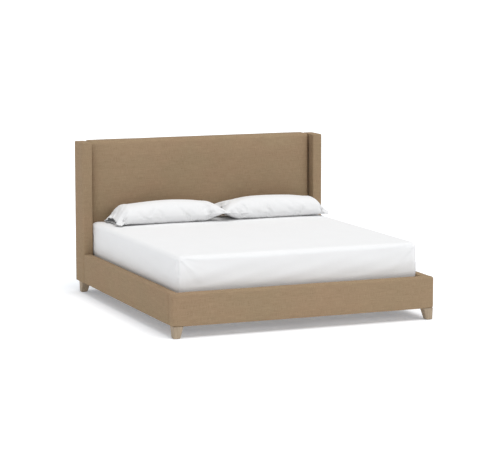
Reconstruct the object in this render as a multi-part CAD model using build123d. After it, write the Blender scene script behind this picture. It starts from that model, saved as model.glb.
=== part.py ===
"""Upholstered king-size platform bed with a shelter headboard.

X runs across the bed, Y from the footboard to the headboard, Z up, in millimetres.
The origin is on the floor, halfway across and halfway along the bed.
Left is -X and right is +X, as seen from the foot of the bed.
"""
from build123d import *
import os

# Overall sizes
BED_WIDTH = 2104
BED_LENGTH = 2280
FOOT_HEIGHT = 89
RAIL_TOP = 325
WING_TOP = 1228
PANEL_TOP = 1234

# Upholstery
COVER = 2
SIDE_FOAM = 6
BOARD_TOP_FOAM = 14
SEAM_RADIUS = 12
CORNER_RADIUS = 34
BASE_RADIUS = 6

# Footboard and side rails
FOOTBOARD_THICKNESS = 87
FOOTBOARD_BOARD = 40
RAIL_THICKNESS = 72
RAIL_BOARD = 32

# Wings of the headboard
WING_THICKNESS = 80
WING_DEPTH = 212
WING_BOARD = 44
WING_BOARD_INSET_Y = 14

# Headboard panel, from the front: cover, foam, plywood, pine frame, cover, back cloth
PANEL_FRONT_Y = 1017
PANEL_LOWER_Y = 1078
PANEL_PAD_BOTTOM = 262
PANEL_CORNER_RADIUS = 30
PANEL_CROWN_RADIUS = 28
PANEL_TOP_FOAM = 27
PLYWOOD = 12
FRAME_DEPTH = 45
FRAME_MEMBER = 70
BOTTOM_MEMBER = 140
BACK_CLOTH = 1
BACK_CLOTH_MARGIN = 10
BACK_TURNOVER = 45

# Feet
FOOT_TOP = 77
FOOT_INSET = 10
FOOT_INNER_TAPER = 22
FOOT_OUTER_TAPER = 3
FOOT_EDGE_RADIUS = 6
FRONT_FOOT_SETBACK = 2
REAR_FOOT_SETBACK = 50
FOOT_GLIDE_THICKNESS = 3
FOOT_GLIDE_RADIUS = 20

# Mattress support
SLAT_COUNT = 11
SLAT_WIDTH = 100
SLAT_THICKNESS = 20
SLAT_PITCH = 184
FIRST_SLAT_Y = -960
SLAT_HALF_LENGTH = 976
SLAT_EDGE_RADIUS = 3
LEDGER_WIDTH = 38
LEDGER_HEIGHT = 40
LEDGER_CLEARANCE = 8
BEAM_WIDTH = 45
BEAM_HEIGHT = 90
BEAM_END_CLEARANCE = 0.5
HANGER_STEEL = 3
HANGER_REACH = 40
HANGER_HALF_WIDTH = 40
HANGER_CHEEK_HEIGHT = 70
HANGER_PLATE_DROP = 12
LEG_WIDTH = 45
LEG_BOTTOM = 30
LEG_SPACING = 760
LEVELLER_BORE_RADIUS = 4.2
LEVELLER_BORE_DEPTH = 58
LEVELLER_STEM_RADIUS = 4
LEVELLER_STEM_TOP = 62
LEVELLER_BASE_RADIUS = 18
LEVELLER_BASE_HEIGHT = 8

# Fasteners
HOLE_CLEARANCE = 0.15
BOLT_RADIUS = 4
BOLT_HEAD_RADIUS = 8
BOLT_HEAD_HEIGHT = 5
BRACKET_STEEL = 4
BRACKET_LEG = 70
BRACKET_BOTTOM = 110
BRACKET_TOP = 200
BRACKET_BOLT_HEIGHTS = (130, 180)
BRACKET_BOLT_SETBACK = 50
RAIL_BOLT_LENGTH = 36
FOOTBOARD_BOLT_LENGTH = 42
WING_STRAP_REACH = 80
WING_STRAP_BOLT_Y = 975
WING_STRAP_BOLT_LENGTH = 42
WING_BOLT_HEIGHTS = (180, 600, 1000)
WING_BOLT_Y = 1108
WING_BOLT_LENGTH = 121
HANGER_BOLT_LENGTH = 90
FOOT_BOLT_BITE = 40
LEG_BOLT_BITE = 50
SCREW_RADIUS = 2.5
SCREW_HEAD_RADIUS = 4.5
SCREW_HEAD_HEIGHT = 3
HANGER_SCREW_X = 33
HANGER_SCREW_HEIGHTS = (172, 216)
HANGER_SCREW_LENGTH = 40
LEDGER_SCREW_COUNT = 7
LEDGER_SCREW_PITCH = 300
LEDGER_SCREW_LENGTH = 62
SLAT_SCREW_X = 961
SLAT_SCREW_LENGTH = 45

# Bedding
MATTRESS_WIDTH = 1930
MATTRESS_LENGTH = 2032
MATTRESS_THICKNESS = 305
MATTRESS_FOOT_GAP = 121
MATTRESS_CORNER_RADIUS = 60
MATTRESS_TOP_RADIUS = 30
MATTRESS_BASE_RADIUS = 20
SHEET = 1
SHEET_EASE = 0.2
SHEET_HEM = 125
PILLOW_LENGTH = 935
PILLOW_FOOT_Y = 572
PILLOW_HEAD_Y = 1010
PILLOW_THICKNESS = 180
PILLOW_OUTER_X = 905
PILLOW_GAP = 4
PILLOW_LIFT = 0.3
PILLOW_CORNER_RADIUS = 80
PILLOW_EDGE_RADIUS = 68
PILLOWCASE = 1.5
PILLOWCASE_EASE = 1.5
CUFF_MOUTH_WIDTH = 240
CUFF_MOUTH_HEIGHT = 14

# Positions that follow from the sizes above
X_OUT = BED_WIDTH / 2
Y_FOOT = -BED_LENGTH / 2
Y_HEAD = BED_LENGTH / 2
FOOTBOARD_BACK = Y_FOOT + FOOTBOARD_THICKNESS
WING_FRONT = Y_HEAD - WING_DEPTH
RAIL_INNER = X_OUT - RAIL_THICKNESS
WING_INNER = X_OUT - WING_THICKNESS
COVER_BACK = Y_HEAD - BACK_CLOTH
FRAME_BACK = COVER_BACK - COVER
FRAME_FRONT = FRAME_BACK - FRAME_DEPTH
PLYWOOD_FRONT = FRAME_FRONT - PLYWOOD
BOARD_BOTTOM = FOOT_HEIGHT + COVER
PANEL_FRAME_X = WING_INNER - COVER - SIDE_FOAM
PANEL_FRAME_TOP = PANEL_TOP - COVER - PANEL_TOP_FOAM
MATTRESS_FOOT = Y_FOOT + MATTRESS_FOOT_GAP
MATTRESS_HEAD = MATTRESS_FOOT + MATTRESS_LENGTH
MATTRESS_TOP = 577
MATTRESS_BOTTOM = MATTRESS_TOP - MATTRESS_THICKNESS
SLAT_BOTTOM = MATTRESS_BOTTOM - SLAT_THICKNESS
BEAM_BOTTOM = SLAT_BOTTOM - BEAM_HEIGHT
WING_BOARD_X = WING_INNER + (WING_THICKNESS - WING_BOARD) / 2
RAIL_BOARD_X = RAIL_INNER + COVER + SIDE_FOAM
FOOTBOARD_BOARD_Y = FOOTBOARD_BACK - COVER - SIDE_FOAM

PARTS = {}


def block(x, y, z):
    """A box given as (low, high) pairs along each axis."""
    centre = ((x[0] + x[1]) / 2, (y[0] + y[1]) / 2, (z[0] + z[1]) / 2)
    return Pos(*centre) * Box(abs(x[1] - x[0]), abs(y[1] - y[0]), abs(z[1] - z[0]))


def mirrored(shape):
    """The same piece on the other side of the bed."""
    return mirror(shape, about=Plane.YZ)


def shrink(span, by):
    return (span[0] + by, span[1] - by)


def padded_block(x, y, z, front, back, top, base):
    """A padded board's outside: rounded upright, top and base edges."""
    body = block(x, y, z)
    upright = body.edges().filter_by(Axis.Z).sort_by(Axis.Y)
    body = fillet(upright[:2], front)
    upright = body.edges().filter_by(Axis.Z).filter_by(lambda e: abs(e.center().Y - y[1]) < 1)
    body = fillet(upright, back)
    body = fillet(body.faces().sort_by(Axis.Z)[-1].edges(), top)
    return fillet(body.faces().sort_by(Axis.Z)[0].edges(), base)


def padded_layers(x, y, z, front, back, top, base, board):
    """The foam and the fabric cover round a board, from the outside size."""
    outside = padded_block(x, y, z, front, back, top, base)
    inside = padded_block(
        shrink(x, COVER),
        shrink(y, COVER),
        shrink(z, COVER),
        front - COVER,
        back - COVER,
        top - COVER,
        base - COVER,
    )
    return inside - board, outside - inside


def bolt(start, direction, length, reach=0):
    """A round-head bolt with its head's underside at start; reach adds to the radii."""
    place = Plane(origin=start, z_dir=direction)
    bottom = (Align.CENTER, Align.CENTER, Align.MIN)
    over = (Align.CENTER, Align.CENTER, Align.MAX)
    shank = Cylinder(BOLT_RADIUS + reach, length + reach, align=bottom)
    head = Cylinder(BOLT_HEAD_RADIUS + reach, BOLT_HEAD_HEIGHT, align=over)
    return place * (shank + head)


def screw(start, direction, length, reach=0):
    """A pan-head screw with its head's underside at start."""
    place = Plane(origin=start, z_dir=direction)
    bottom = (Align.CENTER, Align.CENTER, Align.MIN)
    over = (Align.CENTER, Align.CENTER, Align.MAX)
    shank = Cylinder(SCREW_RADIUS + reach, length + reach, align=bottom)
    head = Cylinder(SCREW_HEAD_RADIUS + reach, SCREW_HEAD_HEIGHT, align=over)
    return place * (shank + head)


def countersunk_screw(start, length, reach=0):
    """A countersunk screw, pointing down, its flat head level with start."""
    under = (Align.CENTER, Align.CENTER, Align.MAX)
    place = Pos(*start)
    head = Cone(
        SCREW_RADIUS + reach,
        SCREW_HEAD_RADIUS + reach,
        SCREW_HEAD_HEIGHT,
        align=under,
    )
    shank = Cylinder(SCREW_RADIUS + reach, length + reach, align=under)
    return place * (head + shank)


def stud(x, y, low, reach=0):
    """A headless hanger bolt, upright, that joins a foot or a leg to the board above it."""
    bottom = (Align.CENTER, Align.CENTER, Align.MIN)
    length = HANGER_BOLT_LENGTH + 2 * reach
    return Pos(x, y, low - reach) * Cylinder(BOLT_RADIUS + reach, length, align=bottom)


def drilled(shape, tools):
    """A shape with a clearance hole wherever a fastener passes through it."""
    for tool in tools:
        shape = shape - tool
    return shape


# Where each kind of fastener goes, as arguments for its own function

def rail_bolt_places():
    """Bolts through the angle brackets and straps, on the left side of the bed."""
    places = []
    for height in BRACKET_BOLT_HEIGHTS:
        inner = -RAIL_INNER + BRACKET_STEEL
        near = FOOTBOARD_BACK + BRACKET_BOLT_SETBACK
        far = WING_FRONT - BRACKET_BOLT_SETBACK
        places.append(((inner, near, height), (-1, 0, 0), RAIL_BOLT_LENGTH))
        places.append(((inner, far, height), (-1, 0, 0), RAIL_BOLT_LENGTH))
        foot = (-RAIL_INNER + BRACKET_BOLT_SETBACK, FOOTBOARD_BACK + BRACKET_STEEL, height)
        places.append((foot, (0, -1, 0), FOOTBOARD_BOLT_LENGTH))
        wing = (-WING_INNER + BRACKET_STEEL, WING_STRAP_BOLT_Y, height)
        places.append((wing, (-1, 0, 0), WING_STRAP_BOLT_LENGTH))
    return places


def wing_bolt_places():
    """Bolts from inside the headboard's frame into the left wing's board."""
    start_x = -PANEL_FRAME_X + FRAME_MEMBER
    return [
        ((start_x, WING_BOLT_Y, height), (-1, 0, 0), WING_BOLT_LENGTH)
        for height in WING_BOLT_HEIGHTS
    ]


def hanger_screw_places():
    """Screws through the beam hangers' plates into the footboard and the headboard."""
    places = []
    for x in (-HANGER_SCREW_X, HANGER_SCREW_X):
        for height in HANGER_SCREW_HEIGHTS:
            foot = (x, FOOTBOARD_BACK + HANGER_STEEL, height)
            head = (x, PANEL_LOWER_Y - HANGER_STEEL, height)
            places.append((foot, (0, -1, 0), HANGER_SCREW_LENGTH))
            places.append((head, (0, 1, 0), HANGER_SCREW_LENGTH))
    return places


def ledger_screw_places():
    """Screws through the left ledger into its side rail."""
    first = -LEDGER_SCREW_PITCH * (LEDGER_SCREW_COUNT - 1) / 2
    middle = SLAT_BOTTOM - LEDGER_HEIGHT / 2
    start_x = -RAIL_INNER + LEDGER_WIDTH
    return [
        ((start_x, first + LEDGER_SCREW_PITCH * i, middle), (-1, 0, 0), LEDGER_SCREW_LENGTH)
        for i in range(LEDGER_SCREW_COUNT)
    ]


def slat_centres():
    return [FIRST_SLAT_Y + SLAT_PITCH * i for i in range(SLAT_COUNT)]


def slat_screw_places():
    """One countersunk screw at each end of every slat."""
    return [
        (x, y, MATTRESS_BOTTOM)
        for y in slat_centres()
        for x in (-SLAT_SCREW_X, SLAT_SCREW_X)
    ]


def foot_corners():
    """The outer corner of each foot's top, with the directions towards the bed's middle."""
    x = X_OUT - FOOT_INSET
    front = Y_FOOT + FRONT_FOOT_SETBACK
    rear = Y_HEAD - REAR_FOOT_SETBACK
    return {
        "foot_front_left": (-x, front, 1, 1),
        "foot_front_right": (x, front, -1, 1),
        "foot_rear_left": (-x, rear, 1, -1),
        "foot_rear_right": (x, rear, -1, -1),
    }


def foot_middle(name):
    x, y, in_x, in_y = foot_corners()[name]
    return x + in_x * FOOT_TOP / 2, y + in_y * FOOT_TOP / 2


def leg_positions():
    return {
        "centre_leg_foot": -LEG_SPACING / 2,
        "centre_leg_head": LEG_SPACING / 2,
    }


def stud_places():
    """The lower end of every hanger bolt: four feet, then the centre legs."""
    feet = [(*foot_middle(name), FOOT_HEIGHT - FOOT_BOLT_BITE) for name in foot_corners()]
    legs = [(0, y, BEAM_BOTTOM - LEG_BOLT_BITE) for y in leg_positions().values()]
    return feet + legs


# The shapes that drill the holes

def bolt_holes():
    left = [bolt(*place, HOLE_CLEARANCE) for place in rail_bolt_places() + wing_bolt_places()]
    return left + [mirrored(hole) for hole in left]


def stud_holes():
    return [stud(*place, HOLE_CLEARANCE) for place in stud_places()]


def hanger_holes():
    return [screw(*place, HOLE_CLEARANCE) for place in hanger_screw_places()]


def ledger_holes():
    left = [screw(*place, HOLE_CLEARANCE) for place in ledger_screw_places()]
    return left + [mirrored(hole) for hole in left]


def slat_holes():
    return [
        countersunk_screw(place, SLAT_SCREW_LENGTH, HOLE_CLEARANCE)
        for place in slat_screw_places()
    ]


def touching(tools, low, high):
    """The drilling shapes that reach into the box between two corners."""
    found = []
    for tool in tools:
        box = tool.bounding_box()
        inside = all(
            a < h and b > l
            for a, b, l, h in zip(tuple(box.min), tuple(box.max), low, high)
        )
        if inside:
            found.append(tool)
    return found


def add(name, shape, tools=()):
    """Keeps a node, drilled for the fasteners that reach it."""
    box = shape.bounding_box()
    near = touching(tools, tuple(box.min), tuple(box.max))
    PARTS[name] = drilled(shape, near)


# Sub-parts

def make_footboard(tools):
    x = (-X_OUT, X_OUT)
    y = (Y_FOOT, FOOTBOARD_BACK)
    z = (FOOT_HEIGHT, RAIL_TOP)
    board_x = X_OUT - COVER - BOARD_TOP_FOAM
    board = block(
        (-board_x, board_x),
        (FOOTBOARD_BOARD_Y - FOOTBOARD_BOARD, FOOTBOARD_BOARD_Y),
        (BOARD_BOTTOM, RAIL_TOP - COVER - BOARD_TOP_FOAM),
    )
    foam, cover = padded_layers(
        x, y, z, CORNER_RADIUS, SEAM_RADIUS, SEAM_RADIUS, BASE_RADIUS, board
    )
    add("footboard_board", board, tools)
    add("footboard_foam", foam, tools)
    add("footboard_cover", cover, tools)


def make_side_rails(tools):
    """The left side rail's board, foam and cover, and their mirror images."""
    x = (-X_OUT, -RAIL_INNER)
    y = (FOOTBOARD_BACK, WING_FRONT)
    z = (FOOT_HEIGHT, RAIL_TOP)
    board = block(
        (-RAIL_BOARD_X - RAIL_BOARD, -RAIL_BOARD_X),
        shrink(y, COVER + SIDE_FOAM),
        (BOARD_BOTTOM, RAIL_TOP - COVER - BOARD_TOP_FOAM),
    )
    foam, cover = padded_layers(
        x, y, z, SEAM_RADIUS, SEAM_RADIUS, SEAM_RADIUS, BASE_RADIUS, board
    )
    for name, shape in (("board", board), ("foam", foam), ("cover", cover)):
        add(f"side_rail_{name}_left", shape, tools)
        add(f"side_rail_{name}_right", mirrored(shape), tools)


def make_wings(tools):
    """The left wing's board, foam and cover, and their mirror images."""
    x = (-X_OUT, -WING_INNER)
    y = (WING_FRONT, Y_HEAD)
    z = (FOOT_HEIGHT, WING_TOP)
    board = block(
        (-WING_BOARD_X - WING_BOARD, -WING_BOARD_X),
        shrink(y, WING_BOARD_INSET_Y),
        (BOARD_BOTTOM, WING_TOP - COVER - BOARD_TOP_FOAM),
    )
    foam, cover = padded_layers(
        x, y, z, SEAM_RADIUS, SEAM_RADIUS, SEAM_RADIUS, SEAM_RADIUS, board
    )
    for name, shape in (("board", board), ("foam", foam), ("cover", cover)):
        add(f"wing_{name}_left", shape, tools)
        add(f"wing_{name}_right", mirrored(shape), tools)


def panel_outline(inset):
    """The headboard panel's outside, or its inside at a depth under the cover."""
    half = WING_INNER - inset
    back = COVER_BACK - inset
    top = PANEL_TOP - inset
    pad_bottom = PANEL_PAD_BOTTOM + inset
    pad = block((-half, half), (PANEL_FRONT_Y + inset, back), (pad_bottom, top))
    top_corners = pad.edges().filter_by(Axis.Y).sort_by(Axis.Z)[-2:]
    pad = fillet(top_corners, PANEL_CORNER_RADIUS - inset)
    pad = fillet(pad.faces().sort_by(Axis.Y)[0].edges(), PANEL_CROWN_RADIUS - inset)
    lower = block((-half, half), (PANEL_LOWER_Y + inset, back), (FOOT_HEIGHT + inset, pad_bottom))
    return pad + lower


def make_headboard_frame(tools):
    """The pine frame and the plywood that carry the headboard's padding."""
    y = (FRAME_FRONT, FRAME_BACK)
    inner = PANEL_FRAME_X - FRAME_MEMBER
    full_height = (BOARD_BOTTOM, PANEL_FRAME_TOP)
    bottom = (BOARD_BOTTOM, BOARD_BOTTOM + BOTTOM_MEMBER)
    top = (PANEL_FRAME_TOP - FRAME_MEMBER, PANEL_FRAME_TOP)
    stile = block((-PANEL_FRAME_X, -inner), y, full_height)
    add("headboard_stile_left", stile, tools)
    add("headboard_stile_right", mirrored(stile), tools)
    centre = block((-FRAME_MEMBER / 2, FRAME_MEMBER / 2), y, (bottom[1], top[0]))
    add("headboard_centre_stile", centre, tools)
    add("headboard_top_rail", block((-inner, inner), y, top), tools)
    add("headboard_bottom_rail", block((-inner, inner), y, bottom), tools)
    sheet_y = (PLYWOOD_FRONT, FRAME_FRONT)
    sheet = block((-PANEL_FRAME_X, PANEL_FRAME_X), sheet_y, full_height)
    add("headboard_plywood", sheet, tools)


def make_headboard_upholstery(tools):
    outside = panel_outline(0)
    inside = panel_outline(COVER)
    envelope = block(
        (-PANEL_FRAME_X, PANEL_FRAME_X),
        (PLYWOOD_FRONT, FRAME_BACK),
        (BOARD_BOTTOM, PANEL_FRAME_TOP),
    )
    below_pad = block(
        (-WING_INNER, WING_INNER),
        (PANEL_LOWER_Y, COVER_BACK),
        (FOOT_HEIGHT, PANEL_PAD_BOTTOM + COVER),
    )
    add("headboard_foam", inside - envelope - below_pad, tools)
    half = WING_INNER - BACK_TURNOVER
    window = block(
        (-half, half),
        (FRAME_BACK, COVER_BACK),
        (FOOT_HEIGHT + BACK_TURNOVER, PANEL_TOP - BACK_TURNOVER),
    )
    add("headboard_cover", outside - inside - window, tools)
    cloth_half = WING_INNER - BACK_CLOTH_MARGIN
    cloth = block(
        (-cloth_half, cloth_half),
        (COVER_BACK, Y_HEAD),
        (FOOT_HEIGHT + BACK_CLOTH_MARGIN, PANEL_TOP - 2 * BACK_CLOTH_MARGIN),
    )
    add("headboard_back_cloth", cloth)


def make_feet(tools):
    """Tapered wooden feet: upright outside, sloping in towards the middle of the bed."""
    for name, (x, y, in_x, in_y) in foot_corners().items():
        top_middle = foot_middle(name)
        width = FOOT_TOP - FOOT_INNER_TAPER - FOOT_OUTER_TAPER
        shift = FOOT_OUTER_TAPER + width / 2
        base_middle = (x + in_x * shift, y + in_y * shift)
        base = Pos(*base_middle, FOOT_GLIDE_THICKNESS) * RectangleRounded(
            width, width, FOOT_EDGE_RADIUS
        )
        top = Pos(*top_middle, FOOT_HEIGHT) * RectangleRounded(
            FOOT_TOP, FOOT_TOP, FOOT_EDGE_RADIUS
        )
        add(name, loft([base, top]), tools)


def foot_glide(name):
    x, y, in_x, in_y = foot_corners()[name]
    width = FOOT_TOP - FOOT_INNER_TAPER - FOOT_OUTER_TAPER
    shift = FOOT_OUTER_TAPER + width / 2
    disc = Cylinder(FOOT_GLIDE_RADIUS, FOOT_GLIDE_THICKNESS)
    return Pos(x + in_x * shift, y + in_y * shift, FOOT_GLIDE_THICKNESS / 2) * disc


def make_ledgers(tools):
    """The ledgers that carry the slats' ends along the side rails."""
    ledger = block(
        (-RAIL_INNER, -RAIL_INNER + LEDGER_WIDTH),
        (FOOTBOARD_BACK + LEDGER_CLEARANCE, WING_FRONT - LEDGER_CLEARANCE),
        (SLAT_BOTTOM - LEDGER_HEIGHT, SLAT_BOTTOM),
    )
    add("slat_ledger_left", ledger, tools)
    add("slat_ledger_right", mirrored(ledger), tools)


def make_beam(tools):
    """The lengthwise beam under the slats' middles."""
    beam = block(
        (-BEAM_WIDTH / 2, BEAM_WIDTH / 2),
        (
            FOOTBOARD_BACK + HANGER_STEEL + BEAM_END_CLEARANCE,
            PANEL_LOWER_Y - HANGER_STEEL - BEAM_END_CLEARANCE,
        ),
        (BEAM_BOTTOM, SLAT_BOTTOM),
    )
    add("centre_beam", beam, tools)


def beam_hanger(face_y, into):
    """A steel cup for one end of the beam; into is +1 where the beam lies towards +Y."""
    plate_y = sorted((face_y, face_y + into * HANGER_STEEL))
    cup_y = sorted((plate_y[0], face_y + into * HANGER_REACH)) if into > 0 else sorted(
        (plate_y[1], face_y + into * HANGER_REACH)
    )
    slot = BEAM_WIDTH / 2 + BEAM_END_CLEARANCE
    outer = slot + HANGER_STEEL
    plate = block(
        (-HANGER_HALF_WIDTH, HANGER_HALF_WIDTH),
        plate_y,
        (BEAM_BOTTOM - HANGER_PLATE_DROP, BEAM_BOTTOM + HANGER_CHEEK_HEIGHT),
    )
    shelf = block((-outer, outer), cup_y, (BEAM_BOTTOM - HANGER_STEEL, BEAM_BOTTOM))
    cheek = block((slot, outer), cup_y, (BEAM_BOTTOM, BEAM_BOTTOM + HANGER_CHEEK_HEIGHT))
    return plate + shelf + cheek + mirrored(cheek)


def make_beam_hangers(tools):
    foot_end = drilled(beam_hanger(FOOTBOARD_BACK, 1), tools)
    head_end = drilled(beam_hanger(PANEL_LOWER_Y, -1), tools)
    PARTS["beam_hangers"] = Compound(children=[foot_end, head_end])


def make_centre_legs(tools):
    """Square legs under the beam, each bored for the stem of a levelling glide."""
    half = LEG_WIDTH / 2
    bottom = (Align.CENTER, Align.CENTER, Align.MIN)
    for name, y in leg_positions().items():
        leg = block((-half, half), (y - half, y + half), (LEG_BOTTOM, BEAM_BOTTOM))
        bore = Cylinder(LEVELLER_BORE_RADIUS, LEVELLER_BORE_DEPTH, align=bottom)
        add(name, leg - Pos(0, y, LEG_BOTTOM) * bore, tools)
        base = Cylinder(LEVELLER_BASE_RADIUS, LEVELLER_BASE_HEIGHT, align=bottom)
        stem = Cylinder(LEVELLER_STEM_RADIUS, LEVELLER_STEM_TOP, align=bottom)
        add(name.replace("centre_leg", "levelling_glide"), Pos(0, y, 0) * (base + stem))


def make_slats(tools):
    for number, y in enumerate(slat_centres(), start=1):
        slat = block(
            (-SLAT_HALF_LENGTH, SLAT_HALF_LENGTH),
            (y - SLAT_WIDTH / 2, y + SLAT_WIDTH / 2),
            (SLAT_BOTTOM, MATTRESS_BOTTOM),
        )
        slat = fillet(slat.edges().filter_by(Axis.X), SLAT_EDGE_RADIUS)
        add(f"slat_{number:02d}", slat, tools)


def angle_bracket():
    """The left angle bracket between a side rail and the footboard."""
    z = (BRACKET_BOTTOM, BRACKET_TOP)
    x = -RAIL_INNER
    y = FOOTBOARD_BACK
    on_rail = block((x, x + BRACKET_STEEL), (y, y + BRACKET_LEG), z)
    on_foot = block((x, x + BRACKET_LEG), (y, y + BRACKET_STEEL), z)
    return on_rail + on_foot


def joggled_strap():
    """The left strap between a side rail and a wing, stepped across their inner faces."""
    z = (BRACKET_BOTTOM, BRACKET_TOP)
    x_rail = -RAIL_INNER
    x_wing = -WING_INNER
    y = WING_FRONT
    on_rail = block((x_rail, x_rail + BRACKET_STEEL), (y - BRACKET_LEG, y), z)
    step = block((x_rail, x_wing + BRACKET_STEEL), (y - BRACKET_STEEL, y), z)
    on_wing = block((x_wing, x_wing + BRACKET_STEEL), (y - BRACKET_STEEL, y + WING_STRAP_REACH), z)
    return on_rail + step + on_wing


def make_brackets(tools):
    for name, shape in (("angle_brackets", angle_bracket()), ("wing_straps", joggled_strap())):
        left = drilled(shape, tools)
        PARTS[name] = Compound(children=[left, mirrored(left)])


def make_fasteners():
    """Each kind of fastener is one node of separate solids."""
    bolts = [bolt(*place) for place in rail_bolt_places() + wing_bolt_places()]
    hanger_screws = [screw(*place) for place in hanger_screw_places()]
    ledger_screws = [screw(*place) for place in ledger_screw_places()]
    groups = {
        "frame_bolts": bolts + [mirrored(b) for b in bolts],
        "hanger_bolts": [stud(*place) for place in stud_places()],
        "frame_screws": hanger_screws + ledger_screws + [mirrored(s) for s in ledger_screws],
        "slat_screws": [
            countersunk_screw(place, SLAT_SCREW_LENGTH) for place in slat_screw_places()
        ],
        "foot_glides": [foot_glide(name) for name in foot_corners()],
    }
    for name, solids in groups.items():
        PARTS[name] = Compound(children=solids)


def soft_block(x, y, z, corner, top, base):
    body = fillet(block(x, y, z).edges().filter_by(Axis.Z), corner)
    body = fillet(body.faces().sort_by(Axis.Z)[-1].edges(), top)
    return fillet(body.faces().sort_by(Axis.Z)[0].edges(), base)


def mattress_shape(inset):
    half = MATTRESS_WIDTH / 2
    return soft_block(
        (-half + inset, half - inset),
        (MATTRESS_FOOT + inset, MATTRESS_HEAD - inset),
        (MATTRESS_BOTTOM + inset, MATTRESS_TOP - inset),
        MATTRESS_CORNER_RADIUS - inset,
        MATTRESS_TOP_RADIUS - inset,
        MATTRESS_BASE_RADIUS - inset,
    )


def make_mattress():
    """The mattress, and the fitted sheet with its elastic hem turned under."""
    half = MATTRESS_WIDTH / 2 - SHEET_HEM
    window = block(
        (-half, half),
        (MATTRESS_FOOT + SHEET_HEM, MATTRESS_HEAD - SHEET_HEM),
        (MATTRESS_BOTTOM, MATTRESS_BOTTOM + SHEET),
    )
    PARTS["mattress"] = mattress_shape(SHEET + SHEET_EASE)
    PARTS["fitted_sheet"] = mattress_shape(0) - mattress_shape(SHEET) - window


def pillow_shape(inset):
    """The left pillow at a depth under its case."""
    low = MATTRESS_TOP + PILLOW_LIFT
    return soft_block(
        (-PILLOW_OUTER_X + inset, -PILLOW_OUTER_X + PILLOW_LENGTH - inset),
        (PILLOW_FOOT_Y + inset, PILLOW_HEAD_Y - inset),
        (low + inset, low + PILLOW_THICKNESS - inset),
        PILLOW_CORNER_RADIUS - inset,
        PILLOW_EDGE_RADIUS - inset,
        PILLOW_EDGE_RADIUS - inset,
    )


def make_pillows():
    """Two pillows in cases; each case's open mouth faces its side of the bed."""
    insert = pillow_shape(PILLOWCASE + PILLOWCASE_EASE)
    case = pillow_shape(0) - pillow_shape(PILLOWCASE)
    middle_y = (PILLOW_FOOT_Y + PILLOW_HEAD_Y) / 2
    middle_z = MATTRESS_TOP + PILLOW_LIFT + PILLOW_THICKNESS / 2
    mouth = block(
        (-PILLOW_OUTER_X, -PILLOW_OUTER_X + PILLOWCASE),
        (middle_y - CUFF_MOUTH_WIDTH / 2, middle_y + CUFF_MOUTH_WIDTH / 2),
        (middle_z - CUFF_MOUTH_HEIGHT / 2, middle_z + CUFF_MOUTH_HEIGHT / 2),
    )
    case = case - mouth
    PARTS["pillow_left"] = insert
    PARTS["pillowcase_left"] = case
    across = 2 * (PILLOW_LENGTH - PILLOW_OUTER_X) + PILLOW_GAP
    PARTS["pillow_right"] = Pos(across, 0, 0) * mirrored(insert)
    PARTS["pillowcase_right"] = Pos(across, 0, 0) * mirrored(case)


def make_bed():
    bolts = bolt_holes()
    studs = stud_holes()
    hangers = hanger_holes()
    ledgers = ledger_holes()
    slats = slat_holes()
    every_hole = bolts + studs + hangers + ledgers
    make_footboard(every_hole)
    make_side_rails(every_hole)
    make_wings(every_hole)
    make_headboard_frame(every_hole)
    make_headboard_upholstery(every_hole)
    make_feet(studs)
    make_ledgers(ledgers + slats)
    make_beam(studs)
    make_beam_hangers(hangers)
    make_centre_legs(studs)
    make_slats(slats)
    make_brackets(bolts)
    make_fasteners()
    make_mattress()
    make_pillows()


make_bed()
os.makedirs("parts", exist_ok=True)
for node, shape in PARTS.items():
    export_step(shape, f"parts/{node}.step")
    print(node, len(shape.solids()))
print("nodes", len(PARTS))
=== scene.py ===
import math

import bpy
import numpy as np
from mathutils import Matrix, Vector
from mathutils.bvhtree import BVHTree


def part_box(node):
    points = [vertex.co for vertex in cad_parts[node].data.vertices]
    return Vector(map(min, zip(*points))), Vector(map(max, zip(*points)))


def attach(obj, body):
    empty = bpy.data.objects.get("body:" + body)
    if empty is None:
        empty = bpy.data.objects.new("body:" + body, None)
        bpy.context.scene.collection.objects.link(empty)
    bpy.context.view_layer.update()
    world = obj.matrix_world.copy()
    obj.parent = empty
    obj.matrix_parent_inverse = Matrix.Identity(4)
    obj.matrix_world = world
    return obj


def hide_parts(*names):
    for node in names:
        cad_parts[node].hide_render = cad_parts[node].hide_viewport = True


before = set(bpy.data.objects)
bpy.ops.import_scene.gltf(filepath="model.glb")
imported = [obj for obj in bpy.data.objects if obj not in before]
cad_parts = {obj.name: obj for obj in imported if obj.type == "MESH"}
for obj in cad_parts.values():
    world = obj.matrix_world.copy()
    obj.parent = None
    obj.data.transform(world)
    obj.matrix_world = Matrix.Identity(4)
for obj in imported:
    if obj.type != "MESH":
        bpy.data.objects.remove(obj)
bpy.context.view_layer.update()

MM = 0.001


# ---------------------------------------------------------------- camera

CAMERA_PLACE = Vector((-5.926, -14.450, 2.770))
CAMERA_YAW = math.radians(22.357)
CAMERA_DIP = math.radians(7.804)
CAMERA_LENS = 145.06
SENSOR_WIDTH = 36.0
FAR_CLIP = 900.0


def set_camera():
    data = bpy.data.cameras.new("bedroom_camera")
    data.lens = CAMERA_LENS
    data.sensor_width = SENSOR_WIDTH
    data.clip_end = FAR_CLIP
    camera = bpy.data.objects.new("bedroom_camera", data)
    bpy.context.scene.collection.objects.link(camera)
    ahead = Vector(
        (
            math.sin(CAMERA_YAW) * math.cos(CAMERA_DIP),
            math.cos(CAMERA_YAW) * math.cos(CAMERA_DIP),
            -math.sin(CAMERA_DIP),
        )
    )
    right = Vector((math.cos(CAMERA_YAW), -math.sin(CAMERA_YAW), 0.0))
    up = right.cross(ahead)
    turn = Matrix((right, up, -ahead)).transposed().to_4x4()
    camera.matrix_world = Matrix.Translation(CAMERA_PLACE) @ turn
    bpy.context.scene.camera = camera


# ---------------------------------------------------------------- materials

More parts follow.
